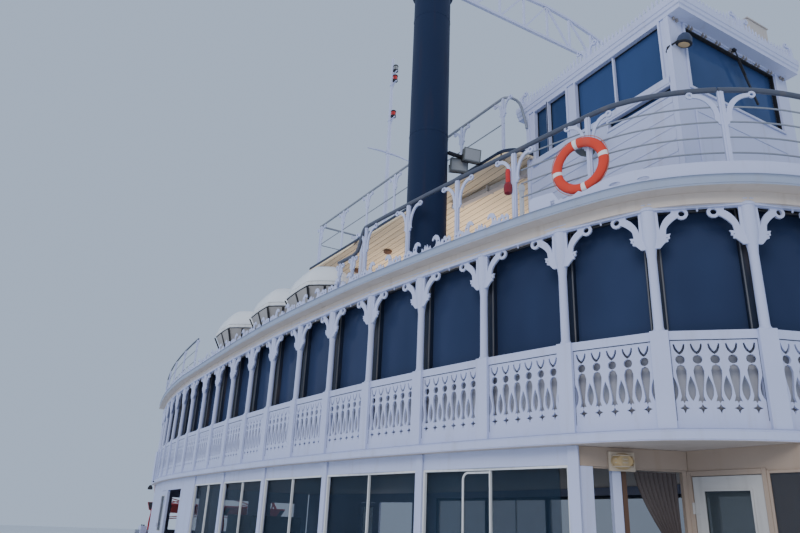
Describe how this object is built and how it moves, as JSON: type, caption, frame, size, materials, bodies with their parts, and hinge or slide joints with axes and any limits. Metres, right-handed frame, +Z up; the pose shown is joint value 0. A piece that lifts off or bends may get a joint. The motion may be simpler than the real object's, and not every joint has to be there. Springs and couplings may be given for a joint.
{
  "type": "sternwheel paddle boat",
  "caption": "Flat-bottomed sternwheel excursion boat with glazed decks, colonnade, pilothouse, twin stacks and a turning paddle wheel.",
  "frame": {"origin": "under the middle of the boat, on the plane of its flat bottom", "axes": "+X forward to the bow, +Y to port, +Z up"},
  "size_m": [30.2, 8.07, 17.4],
  "materials": {
    "white_paint": "gloss marine paint, weathered",
    "cream_paint": "satin marine paint",
    "deck_paint": "grey-blue deck paint",
    "hull_paint": "satin hull paint",
    "stack_paint": "dark navy gloss paint",
    "tinted_glass": "blue tinted glass",
    "planking": "oiled planks with white edge",
    "wheel_paint": "red gloss paint on steel",
    "bare_steel": "galvanised steel",
    "dark_iron": "dark painted iron",
    "raft_shell": "white moulded shell",
    "lamp_housing": "grey lamp housing"
  },
  "bodies": {
    "boat": {"hull": "hull_paint", "main_deck": "deck_paint", "house_wall_starboard": "white_paint", "house_wall_port": "white_paint", "house_front": "white_paint", "house_wall_aft": "white_paint", "house_glass_starboard": "tinted_glass", "house_glass_port": "tinted_glass", "engine_block": "dark_iron", "deck_2": "cream_paint", "colonnade_fore_starboard": "white_paint", "colonnade_fore_port": "white_paint", "colonnade_aft_starboard": "white_paint", "colonnade_aft_port": "white_paint", "colonnade_bow": "white_paint", "colonnade_stern": "white_paint", "saloon_wall_starboard": "white_paint", "saloon_wall_port": "white_paint", "saloon_wall_bow": "white_paint", "saloon_wall_stern": "white_paint", "saloon_glass_fore_starboard": "tinted_glass", "saloon_glass_fore_port": "tinted_glass", "saloon_glass_aft_starboard": "tinted_glass", "saloon_glass_aft_port": "tinted_glass", "saloon_glass_bow": "tinted_glass", "deck_3": "deck_paint", "rail_fore_starboard": "white_paint", "rail_fore_port": "white_paint", "rail_bow": "white_paint", "rail_aft_starboard": "white_paint", "rail_aft_port": "white_paint", "rail_stern": "white_paint", "stack_starboard": "stack_paint", "stack_port": "stack_paint", "stack_truss": "white_paint", "canopy": "planking", "roof_rail": "white_paint", "pilothouse_side_starboard": "white_paint", "pilothouse_side_port": "white_paint", "pilothouse_front": "white_paint", "pilothouse_aft": "white_paint", "pilothouse_glass": "tinted_glass", "pilothouse_roof": "white_paint", "mast_tabernacle": "bare_steel", "life_rafts_starboard": "raft_shell", "life_rafts_port": "raft_shell", "floodlights": "lamp_housing", "wheel_beam_starboard": "white_paint", "wheel_beam_port": "white_paint"},
    "foredeck_door_starboard_leaf": {"foredeck_door_starboard": "white_paint"},
    "foredeck_door_port_leaf": {"foredeck_door_port": "white_paint"},
    "side_door_starboard_leaf": {"side_door_starboard": "white_paint"},
    "side_door_port_leaf": {"side_door_port": "white_paint"},
    "pilothouse_door_leaf": {"pilothouse_door": "white_paint"},
    "mast_body": {"mast": "white_paint"},
    "paddle_wheel_body": {"paddle_wheel": "wheel_paint", "wheel_shaft": "bare_steel"},
    "rudder_starboard_body": {"rudder_starboard": "dark_iron"},
    "rudder_port_body": {"rudder_port": "dark_iron"}
  },
  "joints": [
    {"name": "paddle_wheel_spin", "type": "hinge", "parent": "boat", "child": "paddle_wheel_body", "pos_m": [-12.9, 0, 2.8], "axis": [0, 1, 0], "continuous": true},
    {"name": "rudder_starboard_turn", "type": "hinge", "parent": "boat", "child": "rudder_starboard_body", "pos_m": [-9.35, -1.5, 0.42], "axis": [0, 0, 1], "range_deg": [-35, 35]},
    {"name": "rudder_port_turn", "type": "hinge", "parent": "boat", "child": "rudder_port_body", "pos_m": [-9.35, 1.5, 0.42], "axis": [0, 0, 1], "range_deg": [-35, 35]},
    {"name": "foredeck_door_starboard_swing", "type": "hinge", "parent": "boat", "child": "foredeck_door_starboard_leaf", "pos_m": [11.5, -1.4643, 3.1], "axis": [0, 0, 1], "range_deg": [-95, 0]},
    {"name": "foredeck_door_port_swing", "type": "hinge", "parent": "boat", "child": "foredeck_door_port_leaf", "pos_m": [11.5, 1.4643, 3.1], "axis": [0, 0, 1], "range_deg": [0, 95]},
    {"name": "side_door_starboard_swing", "type": "hinge", "parent": "boat", "child": "side_door_starboard_leaf", "pos_m": [-5.46702, -3.63455, 3.1], "axis": [0, 0, 1], "range_deg": [0, 100]},
    {"name": "side_door_port_swing", "type": "hinge", "parent": "boat", "child": "side_door_port_leaf", "pos_m": [-5.46702, 3.63455, 3.1], "axis": [0, 0, 1], "range_deg": [-100, 0]},
    {"name": "pilothouse_door_swing", "type": "hinge", "parent": "boat", "child": "pilothouse_door_leaf", "pos_m": [8.7857, 0.4, 8.4], "axis": [0, 0, 1], "range_deg": [-100, 0]},
    {"name": "mast_lowering", "type": "hinge", "parent": "boat", "child": "mast_body", "pos_m": [0.93, 0, 7.73], "axis": [0, -1, 0], "range_deg": [0, 88]}
  ],
  "couplings": [
    {"joint": "rudder_port_turn", "follows": "rudder_starboard_turn", "ratio": 1}
  ]
}
